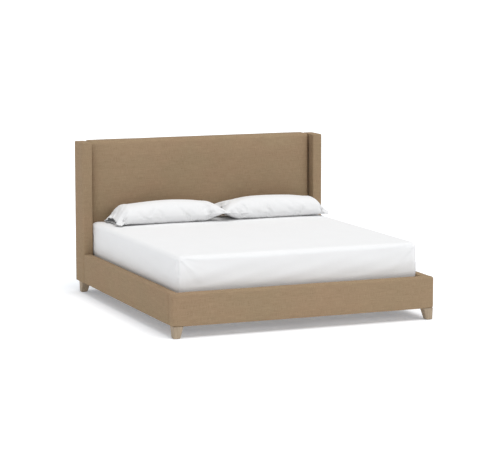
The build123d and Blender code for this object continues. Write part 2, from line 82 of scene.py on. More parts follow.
def put(tree, kind, inputs=None, **settings):
    """Adds a node; an input given as a socket is linked, any other is set."""
    node = tree.nodes.new(kind)
    for name, value in settings.items():
        setattr(node, name, value)
    for key, value in (inputs or {}).items():
        socket = node.inputs[key]
        if isinstance(value, bpy.types.NodeSocket):
            tree.links.new(value, socket)
        else:
            socket.default_value = value
    return node


def math_node(tree, operation, *values):
    node = put(tree, "ShaderNodeMath", dict(enumerate(values)), operation=operation)
    return node.outputs[0]


def new_material(name, roughness=0.9, metallic=0.0, sheen=0.0, sheen_roughness=0.4, specular=0.5):
    material = bpy.data.materials.new(name)
    material.use_nodes = True
    shader = material.node_tree.nodes["Principled BSDF"]
    shader.inputs["Roughness"].default_value = roughness
    shader.inputs["Metallic"].default_value = metallic
    shader.inputs["Specular IOR Level"].default_value = specular
    shader.inputs["Sheen Weight"].default_value = sheen
    shader.inputs["Sheen Roughness"].default_value = sheen_roughness
    return material, material.node_tree, shader


def scaled(tree, vector, scale):
    node = put(tree, "ShaderNodeMapping", {"Vector": vector, "Scale": scale})
    return node.outputs["Vector"]


def noise(tree, vector, scale, detail=2.0, roughness=0.5):
    node = put(
        tree,
        "ShaderNodeTexNoise",
        {"Vector": vector, "Scale": scale, "Detail": detail, "Roughness": roughness},
    )
    return node.outputs["Fac"]


def ramp(tree, value, stops):
    node = put(tree, "ShaderNodeValToRGB", {"Fac": value})
    elements = node.color_ramp.elements
    while len(elements) < len(stops):
        elements.new(0.5)
    for element, (place, colour) in zip(elements, stops):
        element.position = place
        element.color = (*colour, 1.0)
    return node.outputs["Color"]


def remap(tree, value, low, high, to_low, to_high):
    node = put(
        tree,
        "ShaderNodeMapRange",
        {
            "Value": value,
            "From Min": low,
            "From Max": high,
            "To Min": to_low,
            "To Max": to_high,
        },
    )
    return node.outputs["Result"]


def mix_colour(tree, factor, first, second, blend="MIX"):
    node = tree.nodes.new("ShaderNodeMix")
    node.data_type = "RGBA"
    node.blend_type = blend
    for key, value in ((0, factor), (6, first), (7, second)):
        if isinstance(value, bpy.types.NodeSocket):
            tree.links.new(value, node.inputs[key])
        elif key == 0:
            node.inputs[key].default_value = value
        else:
            node.inputs[key].default_value = (*value, 1.0)
    return node.outputs[2]


def bump(tree, shader, height, distance, strength=1.0, before=None):
    inputs = {"Height": height, "Distance": distance, "Strength": strength}
    if before is not None:
        inputs["Normal"] = before
    node = put(tree, "ShaderNodeBump", inputs)
    tree.links.new(node.outputs["Normal"], shader.inputs["Normal"])
    return node.outputs["Normal"]


def place_of(tree):
    """Where a point lies on the object, in metres."""
    return put(tree, "ShaderNodeTexCoord").outputs["Object"]


def grey_of(tree, tone):
    return put(tree, "ShaderNodeCombineColor", {0: tone, 1: tone, 2: tone}).outputs[0]


def sine(tree, value, rate):
    return math_node(tree, "SINE", math_node(tree, "MULTIPLY", value, rate))


def paint(tree, shader, colour, roughness):
    tree.links.new(colour, shader.inputs["Base Color"])
    tree.links.new(roughness, shader.inputs["Roughness"])


def cloth_coordinates(tree):
    """The cloth's own map, in metres along its warp and weft."""
    uv = put(tree, "ShaderNodeUVMap", uv_map="cloth").outputs["UV"]
    parts = put(tree, "ShaderNodeSeparateXYZ", {"Vector": uv})
    return uv, parts.outputs["X"], parts.outputs["Y"]


def weave_height(tree, across, along, pitch):
    """A plain weave: round yarns that pass over and under in turn."""
    warp = sine(tree, across, math.pi / pitch)
    weft = sine(tree, along, math.pi / pitch)
    over = math_node(tree, "MULTIPLY", warp, weft)
    warp_round = math_node(tree, "ABSOLUTE", warp)
    weft_round = math_node(tree, "ABSOLUTE", weft)
    lift = remap(tree, over, -1.0, 1.0, 0.0, 1.0)
    top_yarn = math_node(tree, "MULTIPLY", warp_round, lift)
    under = math_node(tree, "SUBTRACT", 1.0, lift)
    low_yarn = math_node(tree, "MULTIPLY", weft_round, under)
    return math_node(tree, "MAXIMUM", top_yarn, low_yarn)


def tweed_fabric():
    """Heathered tan upholstery weave with slubs both ways."""
    material, tree, shader = new_material("heathered_tweed", 0.92, sheen=0.02, specular=0.04)
    uv, across, along = cloth_coordinates(tree)
    place = place_of(tree)
    weave = weave_height(tree, across, along, 1.9 * MM)
    weft_slub = noise(tree, scaled(tree, uv, (14, 300, 1)), 1.0, 2.0)
    warp_slub = noise(tree, scaled(tree, uv, (280, 20, 1)), 1.0, 2.0)
    heather = noise(tree, scaled(tree, uv, (420, 420, 1)), 1.0, 3.0, 0.7)
    patch = noise(tree, scaled(tree, uv, (5, 55, 1)), 1.0, 3.0, 0.6)
    broad = noise(tree, place, 2.2, 2.0)
    cast = noise(tree, scaled(tree, place, (3.1, 3.1, 4.5)), 1.0, 3.0)
    slubs = math_node(tree, "ADD", weft_slub, warp_slub)
    yarn = math_node(tree, "ADD", math_node(tree, "MULTIPLY", slubs, 0.35), heather)
    base = ramp(
        tree,
        remap(tree, yarn, 0.45, 1.2, 0.0, 1.0),
        (
            (0.0, (0.158, 0.105, 0.060)),
            (0.35, (0.281, 0.199, 0.122)),
            (0.62, (0.352, 0.255, 0.160)),
            (1.0, (0.477, 0.368, 0.247)),
        ),
    )
    shade = remap(tree, patch, 0.3, 0.7, 0.96, 1.04)
    wide = remap(tree, broad, 0.3, 0.7, 0.98, 1.02)
    tone = math_node(tree, "MULTIPLY", shade, wide)
    grey = grey_of(tree, tone)
    toned = mix_colour(tree, 1.0, base, grey, "MULTIPLY")
    tint = ramp(tree, cast, ((0.35, (0.985, 0.993, 0.985)), (0.65, (1.015, 0.979, 0.98))))
    colour = mix_colour(tree, 1.0, toned, tint, "MULTIPLY")
    paint(tree, shader, colour, remap(tree, heather, 0.3, 0.7, 0.84, 0.97))
    coarse = bump(tree, shader, slubs, 0.7 * MM, 0.5)
    bump(tree, shader, weave, 0.45 * MM, 0.8, coarse)
    return material


def white_cotton(name, tint):
    """Smooth white sheeting with a fine weave and soft creasing."""
    material, tree, shader = new_material(name, 0.85, sheen=0.06, specular=0.25)
    uv, across, along = cloth_coordinates(tree)
    place = place_of(tree)
    weave = weave_height(tree, across, along, 0.7 * MM)
    thread = noise(tree, scaled(tree, uv, (900, 60, 1)), 1.0, 2.0)
    soft = noise(tree, place, 6.0, 3.0)
    thread_share = math_node(tree, "MULTIPLY", thread, 0.5)
    mottle = math_node(tree, "ADD", thread_share, math_node(tree, "MULTIPLY", soft, 0.5))
    shaded = tuple(c * 0.965 for c in tint)
    colour = ramp(tree, mottle, ((0.25, shaded), (0.75, tint)))
    paint(tree, shader, colour, remap(tree, thread, 0.3, 0.7, 0.78, 0.9))
    creases = bump(tree, shader, noise(tree, place, 9.0, 3.0), 2.0 * MM, 0.25)
    bump(tree, shader, weave, 0.12 * MM, 0.5, creases)
    return material


def wood(name, light, dark, grain, roughness=0.5, ring_scale=26.0, pores=0.35):
    """Planed timber; grain is the axis that it runs along, 0, 1 or 2."""
    material, tree, shader = new_material(name, roughness, specular=0.4)
    place = place_of(tree)
    long_way = [ring_scale] * 3
    long_way[grain] = ring_scale * 0.06
    fine_way = [620.0] * 3
    fine_way[grain] = 16.0
    rings = noise(tree, scaled(tree, place, long_way), 1.0, 5.0, 0.6)
    bands = sine(tree, rings, 34.0)
    fibre = noise(tree, scaled(tree, place, fine_way), 1.0, 2.0, 0.6)
    value = math_node(
        tree,
        "ADD",
        math_node(tree, "MULTIPLY", remap(tree, bands, -1.0, 1.0, 0.0, 1.0), 0.55),
        math_node(tree, "MULTIPLY", fibre, 0.45),
    )
    middle = tuple((a + b) / 2 for a, b in zip(light, dark))
    colour = ramp(tree, value, ((0.12, dark), (0.45, middle), (0.8, light)))
    pore = remap(tree, fibre, 0.28, 0.42, 1.0 - pores, 1.0)
    grey = grey_of(tree, pore)
    figured = mix_colour(tree, 1.0, colour, grey, "MULTIPLY")
    dull = remap(tree, fibre, 0.2, 0.8, roughness + 0.12, roughness - 0.06)
    paint(tree, shader, figured, dull)
    bump(tree, shader, fibre, 0.15 * MM, 0.5)
    return material


def plywood(name, through):
    """Birch plywood; through is the axis across its layers."""
    material, tree, shader = new_material(name, 0.6, specular=0.3)
    place = place_of(tree)
    parts = put(tree, "ShaderNodeSeparateXYZ", {"Vector": place})
    normal = put(tree, "ShaderNodeNewGeometry").outputs["Normal"]
    facing = put(tree, "ShaderNodeSeparateXYZ", {"Vector": normal}).outputs[through]
    on_face = math_node(tree, "GREATER_THAN", math_node(tree, "ABSOLUTE", facing), 0.7)
    layer = math_node(tree, "MULTIPLY", parts.outputs[through], 2 * math.pi / (2.8 * MM))
    stripe = remap(tree, math_node(tree, "SINE", layer), -0.4, 0.4, 0.0, 1.0)
    figure = noise(tree, scaled(tree, place, (26, 26, 2.2)), 1.0, 4.0)
    veneer = ramp(tree, figure, ((0.3, (0.50, 0.36, 0.21)), (0.7, (0.66, 0.50, 0.31))))
    edge = ramp(tree, stripe, ((0.0, (0.30, 0.19, 0.10)), (1.0, (0.58, 0.43, 0.26))))
    tree.links.new(mix_colour(tree, on_face, edge, veneer), shader.inputs["Base Color"])
    bump(tree, shader, noise(tree, scaled(tree, place, (500, 500, 30)), 1.0), 0.1 * MM, 0.5)
    return material


def coated_steel():
    material, tree, shader = new_material("powder_coated_steel", 0.5, specular=0.5)
    place = place_of(tree)
    grain = noise(tree, place, 900.0, 2.0)
    wear = noise(tree, place, 24.0, 5.0, 0.7)
    colour = ramp(tree, wear, ((0.3, (0.012, 0.012, 0.013)), (0.75, (0.03, 0.03, 0.032))))
    paint(tree, shader, colour, remap(tree, grain, 0.3, 0.7, 0.42, 0.6))
    bump(tree, shader, grain, 0.06 * MM, 0.6)
    return material


def zinc_plate():
    material, tree, shader = new_material("zinc_plated_steel", 0.35, metallic=1.0)
    place = place_of(tree)
    spangle = put(tree, "ShaderNodeTexVoronoi", {"Vector": place, "Scale": 420.0})
    tone = remap(tree, spangle.outputs["Distance"], 0.0, 1.0, 0.45, 0.68)
    grey = grey_of(tree, tone)
    tree.links.new(grey, shader.inputs["Base Color"])
    brushed = noise(tree, place, 600.0, 3.0)
    tree.links.new(remap(tree, brushed, 0.2, 0.8, 0.26, 0.46), shader.inputs["Roughness"])
    bump(tree, shader, brushed, 0.02 * MM, 0.4)
    return material


def moulded_nylon():
    material, tree, shader = new_material("moulded_nylon", 0.55, specular=0.4)
    place = place_of(tree)
    grain = noise(tree, place, 1300.0, 2.0)
    cloudy = noise(tree, place, 60.0)
    colour = ramp(tree, cloudy, ((0.3, (0.03, 0.027, 0.024)), (0.7, (0.05, 0.046, 0.04))))
    paint(tree, shader, colour, remap(tree, grain, 0.3, 0.7, 0.5, 0.62))
    bump(tree, shader, grain, 0.03 * MM, 0.5)
    return material


DIMPLE_PITCH = 1.6 * MM


def dust_cloth():
    """Black spunbonded cloth with its pressed dimples."""
    material, tree, shader = new_material("black_dust_cloth", 0.85, specular=0.2)
    uv, across, along = cloth_coordinates(tree)
    dimple_across = sine(tree, across, math.pi / DIMPLE_PITCH)
    dimple_along = sine(tree, along, math.pi / DIMPLE_PITCH)
    dimple = math_node(tree, "ABSOLUTE", math_node(tree, "MULTIPLY", dimple_across, dimple_along))
    fibre = noise(tree, scaled(tree, uv, (260, 200, 1)), 1.0, 4.0, 0.7)
    colour = ramp(tree, fibre, ((0.25, (0.010, 0.010, 0.011)), (0.8, (0.034, 0.034, 0.036))))
    paint(tree, shader, colour, remap(tree, fibre, 0.2, 0.8, 0.75, 0.92))
    bump(tree, shader, dimple, 0.15 * MM, 0.7)
    return material


QUILT_PITCH = 85 * MM


def quilted_ticking():
    """The mattress's own cloth, quilted in diamonds, with painted shade along the quilting grooves."""
    material, tree, shader = new_material("quilted_ticking", 0.88, sheen=0.1, specular=0.2)
    uv, across, along = cloth_coordinates(tree)
    rise = math_node(tree, "ADD", across, along)
    fall = math_node(tree, "SUBTRACT", across, along)
    ridge_a = math_node(tree, "ABSOLUTE", sine(tree, rise, math.pi / QUILT_PITCH))
    ridge_b = math_node(tree, "ABSOLUTE", sine(tree, fall, math.pi / QUILT_PITCH))
    puff = math_node(tree, "POWER", math_node(tree, "MULTIPLY", ridge_a, ridge_b), 0.4)
    knit = noise(tree, scaled(tree, uv, (700, 500, 1)), 1.0, 2.0)
    colour = ramp(tree, knit, ((0.3, (0.66, 0.65, 0.62)), (0.7, (0.80, 0.79, 0.76))))
    # Painted shade: the colour darkens by up to a fifth along the quilting lines, where the same puff
    # height makes the cloth dip in.
    line = remap(tree, puff, 0.0, 0.35, 0.8, 1.0)
    grey = grey_of(tree, line)
    quilted = mix_colour(tree, 1.0, colour, grey, "MULTIPLY")
    paint(tree, shader, quilted, remap(tree, knit, 0.2, 0.8, 0.8, 0.95))
    quilt = bump(tree, shader, puff, 5.0 * MM, 0.9)
    bump(tree, shader, knit, 0.3 * MM, 0.5, quilt)
    return material


def sewing_thread(name, colour):
    material, tree, shader = new_material(name, 0.7, sheen=0.15, specular=0.3)
    place = place_of(tree)
    twist = noise(tree, place, 2600.0, 2.0)
    dark = tuple(c * 0.8 for c in colour)
    strands = ramp(tree, twist, ((0.3, dark), (0.7, colour)))
    paint(tree, shader, strands, remap(tree, twist, 0.3, 0.7, 0.6, 0.8))
    bump(tree, shader, twist, 0.1 * MM, 0.6)
    return material


TWEED = tweed_fabric()
SHEETING = white_cotton("white_sheeting", (0.86, 0.86, 0.862))
PILLOW_COTTON = white_cotton("white_pillow_cotton", (0.845, 0.845, 0.848))
PILLOW_TICKING = white_cotton("pillow_ticking", (0.80, 0.80, 0.79))
OAK = wood("driftwood_oak", (0.408, 0.320, 0.226), (0.296, 0.222, 0.147), 2, 0.55, 40.0, 0.15)
PINE_ACROSS = wood("pine_across", (0.74, 0.56, 0.36), (0.52, 0.34, 0.18), 0, 0.6, 30.0, 0.2)
PINE_ALONG = wood("pine_along", (0.74, 0.56, 0.36), (0.52, 0.34, 0.18), 1, 0.6, 30.0, 0.2)
PINE_UPRIGHT = wood("pine_upright", (0.74, 0.56, 0.36), (0.52, 0.34, 0.18), 2, 0.6, 30.0, 0.2)
PLY_X = plywood("plywood_x", 0)
PLY_Y = plywood("plywood_y", 1)
STEEL = coated_steel()
ZINC = zinc_plate()
NYLON = moulded_nylon()
DUST_CLOTH = dust_cloth()
TICKING = quilted_ticking()
WHITE_THREAD = sewing_thread("white_thread", (0.85, 0.85, 0.85))

CARRIED_OVER = (
    ("footboard_board", PLY_Y),
    ("headboard_plywood", PLY_Y),
    ("side_rail_board_", PLY_X),
    ("wing_board_", PLY_X),
    ("headboard_stile_", PINE_UPRIGHT),
    ("headboard_centre_stile", PINE_UPRIGHT),
    ("headboard_top_rail", PINE_ACROSS),
    ("headboard_bottom_rail", PINE_ACROSS),
    ("slat_ledger_", PINE_ALONG),
    ("slat_screws", ZINC),
    ("slat_", PINE_ACROSS),
    ("centre_beam", PINE_ALONG),
    ("centre_leg_", PINE_UPRIGHT),
    ("levelling_glide_", NYLON),
    ("foot_glides", NYLON),
    ("foot_", OAK),
    ("angle_brackets", STEEL),
    ("wing_straps", STEEL),
    ("beam_hangers", STEEL),
    ("frame_bolts", ZINC),
    ("hanger_bolts", ZINC),
    ("frame_screws", ZINC),
)


def finish_cad_nodes():
    """Gives every carried-over node its own finish."""
    for name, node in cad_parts.items():
        for start, material in CARRIED_OVER:
            if name.startswith(start):
                node.data.materials.clear()
                node.data.materials.append(material)
                break


# ---------------------------------------------------------------- mesh work

def make_object(name, points, faces, material):
    mesh = bpy.data.meshes.new(name)
    mesh.from_pydata([tuple(map(float, p)) for p in points], [], [tuple(map(int, f)) for f in faces])
    mesh.validate()
    mesh.materials.append(material)
    made = bpy.data.objects.new(name, mesh)
    bpy.context.scene.collection.objects.link(made)
    return made


def points_of(piece):
    flat = np.empty(len(piece.data.vertices) * 3, np.float32)
    piece.data.vertices.foreach_get("co", flat)
    return flat.reshape(-1, 3).astype(float)


def move_points(piece, points):
    piece.data.vertices.foreach_set("co", np.asarray(points, np.float32).ravel())
    piece.data.update()


def smooth_shade(piece):
    piece.data.polygons.foreach_set("use_smooth", [True] * len(piece.data.polygons))


def map_cloth(piece):
    """Lays the cloth's own map on a piece, in metres, by the way each face looks."""
    mesh = piece.data
    layer = mesh.uv_layers.get("cloth") or mesh.uv_layers.new(name="cloth")
    count = len(mesh.loops)
    corner_vertex = np.empty(count, np.int32)
    mesh.loops.foreach_get("vertex_index", corner_vertex)
    normals = np.empty(len(mesh.polygons) * 3, np.float32)
    mesh.polygons.foreach_get("normal", normals)
    totals = np.empty(len(mesh.polygons), np.int32)
    mesh.polygons.foreach_get("loop_total", totals)
    facing = np.abs(normals.reshape(-1, 3)).argmax(axis=1)
    facing = np.repeat(facing, totals)
    points = points_of(piece)[corner_vertex]
    pick_across = np.array([1, 0, 0])[facing]
    pick_along = np.array([2, 2, 1])[facing]
    rows = np.arange(count)
    uv = np.stack([points[rows, pick_across], points[rows, pick_along]], axis=1)
    layer.data.foreach_set("uv", uv.astype(np.float32).ravel())


def edge_spaced(low, high, radius, step, arc_steps=5, fine_step=None, fine_zone=0.0):
    """Stations along one side of a board: close together round its edges."""
    arc = [radius * (1 - math.tan(math.radians(45) * i / arc_steps)) for i in range(arc_steps, -1, -1)]
    start = [low + a for a in arc]
    if fine_step:
        start += list(np.arange(start[-1] + fine_step, low + fine_zone, fine_step))
    end = [low + high - a for a in reversed(start)]
    count = max(1, round((end[0] - start[-1]) / step))
    middle = np.linspace(start[-1], end[0], count + 1)[1:-1]
    return np.array(start + list(middle) + end)


def shell_grid(xs, ys, zs):
    """A closed box surface with stations at xs, ys and zs, in outward quads."""
    counts = (len(xs), len(ys), len(zs))
    index = -np.ones(counts, int)
    edge = np.zeros(counts, bool)
    edge[0], edge[-1] = True, True
    edge[:, 0], edge[:, -1] = True, True
    edge[:, :, 0], edge[:, :, -1] = True, True
    where = np.argwhere(edge)
    index[tuple(where.T)] = np.arange(len(where))
    points = np.stack([xs[where[:, 0]], ys[where[:, 1]], zs[where[:, 2]]], axis=1)
    faces = []

    def side(grid, flip):
        a, b = grid[:-1, :-1], grid[1:, :-1]
        c, d = grid[1:, 1:], grid[:-1, 1:]
        order = (a, d, c, b) if flip else (a, b, c, d)
        faces.append(np.stack(order, axis=-1).reshape(-1, 4))

    side(index[:, :, 0], True)
    side(index[:, :, -1], False)
    side(index[:, 0, :], False)
    side(index[:, -1, :], True)
    side(index[0], True)
    side(index[-1], False)
    return points, np.concatenate(faces)


def rounded(points, low, high, radius):
    """Rounds every edge of a box surface to radius.

    Returns the rounded points and the way each one faces."""
    radius = np.broadcast_to(np.asarray(radius, float).reshape(-1, 1), points.shape)
    core = np.clip(points, low + radius, high - radius)
    out = (points - core) / radius
    out /= np.linalg.norm(out, axis=1, keepdims=True)
    return core + out * radius, out


def widen_corner(points, low, high, corner, small, big):
    """Eases one upright corner of a rounded box from a small radius to a big one."""
    way = np.array(corner, float)
    tip = np.where(way > 0, high[:2], low[:2])
    offset = (points[:, :2] - (tip - big * way)) * way
    inside = (offset > 1e-9).all(axis=1)
    angle = np.arctan2(offset[inside, 1], offset[inside, 0])
    cosine, sine = np.cos(angle), np.sin(angle)
    straight = big / np.maximum(cosine, sine)
    inner = big - small
    along = inner * (cosine + sine)
    arc = along + np.sqrt(np.maximum(along**2 - 2 * inner**2 + small**2, 0))
    on_arc = straight * np.minimum(cosine, sine) > inner
    reach = np.where(on_arc, arc, straight)
    moved = points.copy()
    eased = offset[inside] * (big / reach)[:, None]
    moved[inside, :2] = tip - big * way + eased * way
    return moved


def smooth_step(value, start, end):
    share = np.clip((value - start) / (end - start), 0, 1)
    return share * share * (3 - 2 * share)


def crown(points, out, low, high, rise, sharpness=6.0):
    """Swells each face of a padded board by rise, falling away at its edges."""
    middle, half = (low + high) / 2, (high - low) / 2
    share = np.clip((points - middle) / half, -1, 1)
    fall = 1 - np.abs(share) ** sharpness
    moved = points.copy()
    for axis in range(3):
        others = [a for a in range(3) if a != axis]
        swell = fall[:, others[0]] * fall[:, others[1]]
        moved[:, axis] += out[:, axis] * rise[axis] * swell
    return moved


def waves(points, scale, seed):
    """Smooth, uneven waves between about -1 and 1, the same at each run."""
    rng = np.random.default_rng(seed)
    total = np.zeros(len(points))
    for _ in range(7):
        way = rng.normal(size=3)
        way /= np.linalg.norm(way)
        pitch = scale * rng.uniform(0.6, 1.7)
        total += np.sin(points @ way * 2 * math.pi / pitch + rng.uniform(0, 2 * math.pi))
    return total / 4.0


def settle_piece(piece, body, slot, *nodes):
    smooth_shade(piece)
    map_cloth(piece)
    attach(piece, body)
    if nodes:
        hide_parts(*nodes)


def apply_modifiers(piece):
    """Turns a piece's modifiers into plain mesh."""
    graph = bpy.context.evaluated_depsgraph_get()
    graph.update()
    made = bpy.data.meshes.new_from_object(piece.evaluated_get(graph), depsgraph=graph)
    piece.modifiers.clear()
    old = piece.data
    piece.data = made
    bpy.data.meshes.remove(old)
    made.name = piece.name


# ---------------------------------------------------------------- upholstery

BOARD_STEP = 22 * MM
BOARD_RADIUS = 13 * MM
FOOT_CORNER = 34 * MM
WING_RADIUS = 7 * MM
WING_OUTER_RADIUS = 14 * MM
COVER_EASE = 0.6 * MM
WING_WAVES = {"left": 9, "right": 10}
RAIL_WAVES = {"left": 19, "right": 20}


def node_box(node):
    low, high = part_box(node)
    return np.array(low), np.array(high)


def padded_board(name, node, radius, rise, seed, corners=(), corner_radius=0.0):
    """A board wrapped in foam and tweed, in the place of its CAD cover."""
    low, high = node_box(node)
    xs, ys, zs = (edge_spaced(low[a], high[a], radius, BOARD_STEP) for a in range(3))
    points, faces = shell_grid(xs, ys, zs)
    points, out = rounded(points, low, high, radius)
    for corner in corners:
        points = widen_corner(points, low, high, corner, radius, corner_radius)
    points = crown(points, out, low, high, rise)
    points += out * (waves(points, 0.24, seed) * COVER_EASE)[:, None]
    return make_object(name, points, faces, TWEED)


def make_wings():
    for side, way in (("left", -1), ("right", 1)):
        wing = padded_board(
            f"wing_upholstery_{side}",
            f"wing_cover_{side}",
            WING_RADIUS,
            (2.5 * MM, 2.0 * MM, 1.5 * MM),
            WING_WAVES[side],
            ((way, -1),),
            WING_OUTER_RADIUS,
        )
        settle_piece(wing, "frame", "woven_fabric", f"wing_cover_{side}", f"wing_foam_{side}")


def make_side_rails():
    for side in ("left", "right"):
        rail = padded_board(
            f"side_rail_upholstery_{side}",
            f"side_rail_cover_{side}",
            BOARD_RADIUS,
            (2.5 * MM, 0.0, 2.5 * MM),
            RAIL_WAVES[side],
        )
        nodes = (f"side_rail_cover_{side}", f"side_rail_foam_{side}")
        settle_piece(rail, "frame", "woven_fabric", *nodes)


def make_footboard():
    board = padded_board(
        "footboard_upholstery",
        "footboard_cover",
        BOARD_RADIUS,
        (1.0 * MM, 4.0 * MM, 2.5 * MM),
        33,
        ((-1, -1), (1, -1)),
        FOOT_CORNER,
    )
    settle_piece(board, "frame", "woven_fabric", "footboard_cover", "footboard_foam")


PANEL_EDGE = 30 * MM
PANEL_BACK_EDGE = 12 * MM
PANEL_CROWN = 24 * MM
PANEL_CORNER = 36 * MM
PANEL_STEP = 26 * MM
PANEL_BASE_SWELL = 2 * MM
PAD_BOTTOM = 0.262
SKIRT_FRONT = 1.078
SKIRT_EDGE = 6 * MM
SKIRT_STEP = 30 * MM
MATTRESS_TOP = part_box("fitted_sheet")[1].z


def panel_swell(points, out, high):
    """How far the pad's face stands forward: full above the mattress, none beside it."""
    above = smooth_step(points[:, 2], MATTRESS_TOP - 0.01, MATTRESS_TOP + 0.12)
    to_top = np.clip((high[2] - points[:, 2]) / 0.12, 0, 1) ** 0.7
    to_side = np.clip((high[0] - np.abs(points[:, 0])) / 0.05, 0, 1) ** 0.45
    forward = np.clip(-out[:, 1], 0, 1)
    return forward * (PANEL_BASE_SWELL + PANEL_CROWN * above * to_top * to_side)


def make_headboard():
    """The crowned pad between the wings, and the plain cloth below it."""
    low, high = node_box("headboard_cover")
    pad_low = np.array([low[0], low[1], PAD_BOTTOM])
    stations = [edge_spaced(pad_low[a], high[a], PANEL_EDGE, PANEL_STEP, 7) for a in range(3)]
    points, faces = shell_grid(*stations)
    front = points[:, 1] < (pad_low[1] + high[1]) / 2
    radius = np.where(front, PANEL_EDGE, PANEL_BACK_EDGE)
    points, out = rounded(points, pad_low, high, radius)
    points[:, 1] -= panel_swell(points, out, high)
    to_corner = np.hypot(
        np.clip(np.abs(points[:, 0]) - high[0] + PANEL_CORNER, 0, None),
        np.clip(points[:, 2] - high[2] + PANEL_CORNER, 0, None),
    )
    over = np.clip(to_corner - PANEL_CORNER, 0, None)
    points[:, 2] -= over * 0.7
    points[:, 0] -= np.sign(points[:, 0]) * over * 0.7
    ahead = 1 - np.clip(out[:, 1], 0, 1)
    points += out * (ahead * waves(points, 0.35, 71) * 0.7 * MM)[:, None]
    pad = make_object("headboard_upholstery", points, faces, TWEED)
    settle_piece(pad, "frame", "woven_fabric", "headboard_cover", "headboard_foam")
    skirt_low = np.array([low[0], SKIRT_FRONT, low[2]])
    skirt_high = np.array([high[0], high[1], PAD_BOTTOM + PANEL_BACK_EDGE])
    stations = [
        edge_spaced(skirt_low[a], skirt_high[a], SKIRT_EDGE, SKIRT_STEP, 3) for a in range(3)
    ]
    points, faces = shell_grid(*stations)
    points, out = rounded(points, skirt_low, skirt_high, SKIRT_EDGE)
    skirt = make_object("headboard_skirt", points, faces, TWEED)
    settle_piece(skirt, "frame", "woven_fabric")


def make_back_cloth():
    """The black cloth stapled over the headboard's back."""
    low, high = node_box("headboard_back_cloth")
    xs, zs = np.linspace(low[0], high[0], 97), np.linspace(low[2], high[2], 61)
    grid_x, grid_z = np.meshgrid(xs, zs, indexing="ij")
    flat = np.stack([grid_x.ravel(), np.full(grid_x.size, high[1] - 0.4 * MM), grid_z.ravel()], axis=1)
    to_edge = np.minimum(
        np.minimum(flat[:, 0] - low[0], high[0] - flat[:, 0]),
        np.minimum(flat[:, 2] - low[2], high[2] - flat[:, 2]),
    )
    slack = np.clip(to_edge / 0.04, 0, 1)
    pull = np.cos((flat[:, 0] + flat[:, 2]) * 2 * math.pi / BACK_STAPLES["Pitch"])
    near_staples = np.exp(-((to_edge / 0.03) ** 2)) * slack
    flat[:, 1] += slack * (1.0 + waves(flat, 0.5, 88)) * 0.7 * MM + pull * near_staples * 0.5 * MM
    index = np.arange(len(xs) * len(zs)).reshape(len(xs), len(zs))
    quads = [index[:-1, :-1], index[:-1, 1:], index[1:, 1:], index[1:, :-1]]
    piece = make_object("headboard_dust_cloth", flat, np.stack(quads, axis=-1).reshape(-1, 4), DUST_CLOTH)
    wall = piece.modifiers.new("cloth_thickness", "SOLIDIFY")
    wall.thickness = 0.4 * MM
    wall.offset = -1.0
    apply_modifiers(piece)
    settle_piece(piece, "frame", "back_cloth", "headboard_back_cloth")


# ---------------------------------------------------------------- rows of staples and stitches

BACK_STAPLES = {
    "Pitch": 45 * MM,
    "Arch length": 10 * MM,
    "Arch height": 0.9 * MM,
    "Wire radius": 0.45 * MM,
    "Turn": 0.35,
    "Seed": 3,
}
COVER_STAPLES = {
    "Pitch": 38 * MM,
    "Arch length": 10 * MM,
    "Arch height": 3.2 * MM,
    "Wire radius": 0.45 * MM,
    "Turn": 0.3,
    "Seed": 4,
}
HEM_STITCHES = {
    "Pitch": 3.6 * MM,
    "Arch length": 2.4 * MM,
    "Arch height": 0.4 * MM,
    "Wire radius": 0.22 * MM,
    "Turn": 0.05,
    "Seed": 9,
}
STAPLE_INSET = 8 * MM


